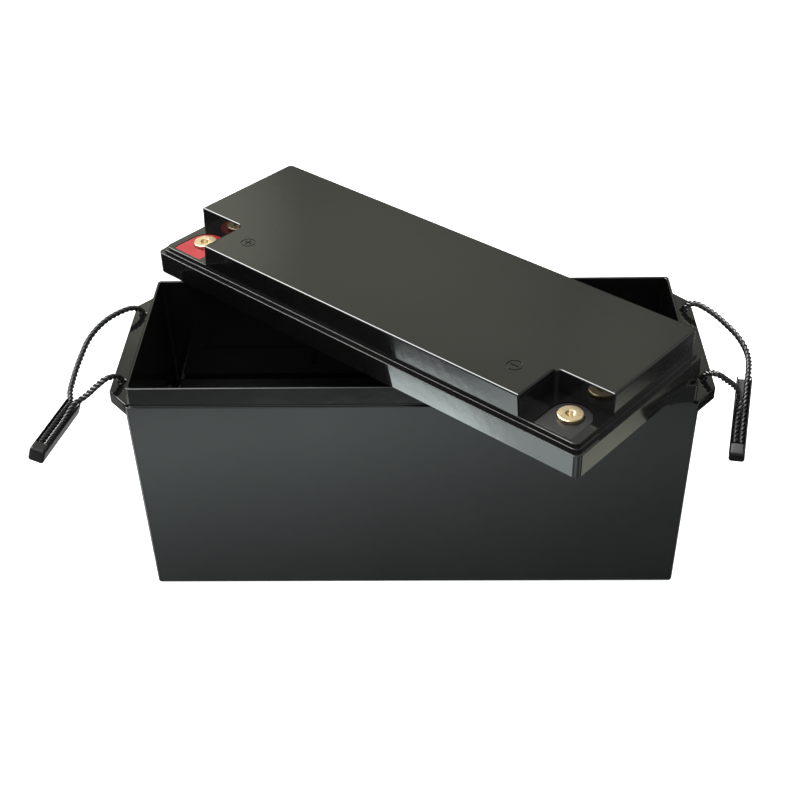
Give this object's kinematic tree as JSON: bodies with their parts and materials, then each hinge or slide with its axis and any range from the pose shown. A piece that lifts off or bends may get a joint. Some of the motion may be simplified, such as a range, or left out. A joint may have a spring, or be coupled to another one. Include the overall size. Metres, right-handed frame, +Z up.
{
  "type": "battery pack",
  "caption": "Glossy black battery case with its stepped lid laid askew across it, brass screw terminals, rope handles with grips, and a low block of cells inside.",
  "frame": {"origin": "middle of the underside of the case, on the surface it stands on", "axes": "+Z up, +X along the case from the positive end to the negative end, -Y towards the side of the case that faces the viewer"},
  "size_m": [0.5749, 0.4182, 0.2533],
  "materials": {
    "case_abs": "glossy moulded ABS",
    "grip_pp": "semi-gloss moulded polypropylene",
    "rope": "twisted nylon",
    "brass": "turned",
    "red_pad": "satin",
    "black_pad": "satin",
    "rubber": "matte",
    "steel": "zinc plated",
    "foam": "closed-cell foam",
    "aluminium": "mill",
    "cell_film": "blue film",
    "spacer": "matte",
    "board": "black laminate",
    "bms_case": "matte",
    "copper": "bare copper",
    "harness": "black sleeve"
  },
  "bodies": {
    "case": {"case_tub": "case_abs", "rope_anchors_left": "rope", "rope_anchors_right": "rope", "floor_pad": "foam", "side_pad_front": "foam", "side_pad_back": "foam", "end_pad_left": "foam", "end_pad_right": "foam", "end_plate_left": "aluminium", "end_plate_right": "aluminium", "cell_01": "cell_film", "cell_02": "cell_film", "cell_03": "cell_film", "cell_04": "cell_film", "cell_05": "cell_film", "cell_06": "cell_film", "cell_07": "cell_film", "cell_08": "cell_film", "cell_09": "cell_film", "cell_10": "cell_film", "cell_11": "cell_film", "cell_12": "cell_film", "cell_13": "cell_film", "cell_14": "cell_film", "cell_15": "cell_film", "cell_16": "cell_film", "cell_spacers": "spacer", "strap_lower": "steel", "strap_upper": "steel", "busbar_plus": "aluminium", "busbar_link_1": "aluminium", "busbar_link_2": "aluminium", "busbar_link_3": "aluminium", "busbar_minus": "aluminium", "insulation_board": "board", "bms_base": "aluminium", "bms_cover": "bms_case", "bms_screws": "steel", "bms_lead": "copper", "sense_harness": "harness"},
    "lid": {"lid": "case_abs", "lid_seal": "foam", "terminal_positive": "brass", "terminal_negative": "brass", "terminal_pad_red": "red_pad", "terminal_pad_black": "black_pad", "terminal_o_rings": "rubber", "terminal_washers": "steel", "terminal_nuts": "steel"},
    "handle_left": {"grip_left": "grip_pp", "rope_left_back": "rope", "rope_left_front": "rope"},
    "handle_right": {"grip_right": "grip_pp", "rope_right_back": "rope", "rope_right_front": "rope"}
  },
  "joints": [
    {"name": "lid_lift", "type": "slide", "parent": "case", "child": "lid", "axis": [0, 0, 1], "range_m": [0, 0.25]},
    {"name": "handle_left_swing", "type": "hinge", "parent": "case", "child": "handle_left", "pos_m": [-0.243, 0, 0.2045], "axis": [0, 1, 0], "range_deg": [-38, 120]},
    {"name": "handle_right_swing", "type": "hinge", "parent": "case", "child": "handle_right", "pos_m": [0.243, 0, 0.2045], "axis": [0, -1, 0], "range_deg": [-25, 120]}
  ]
}
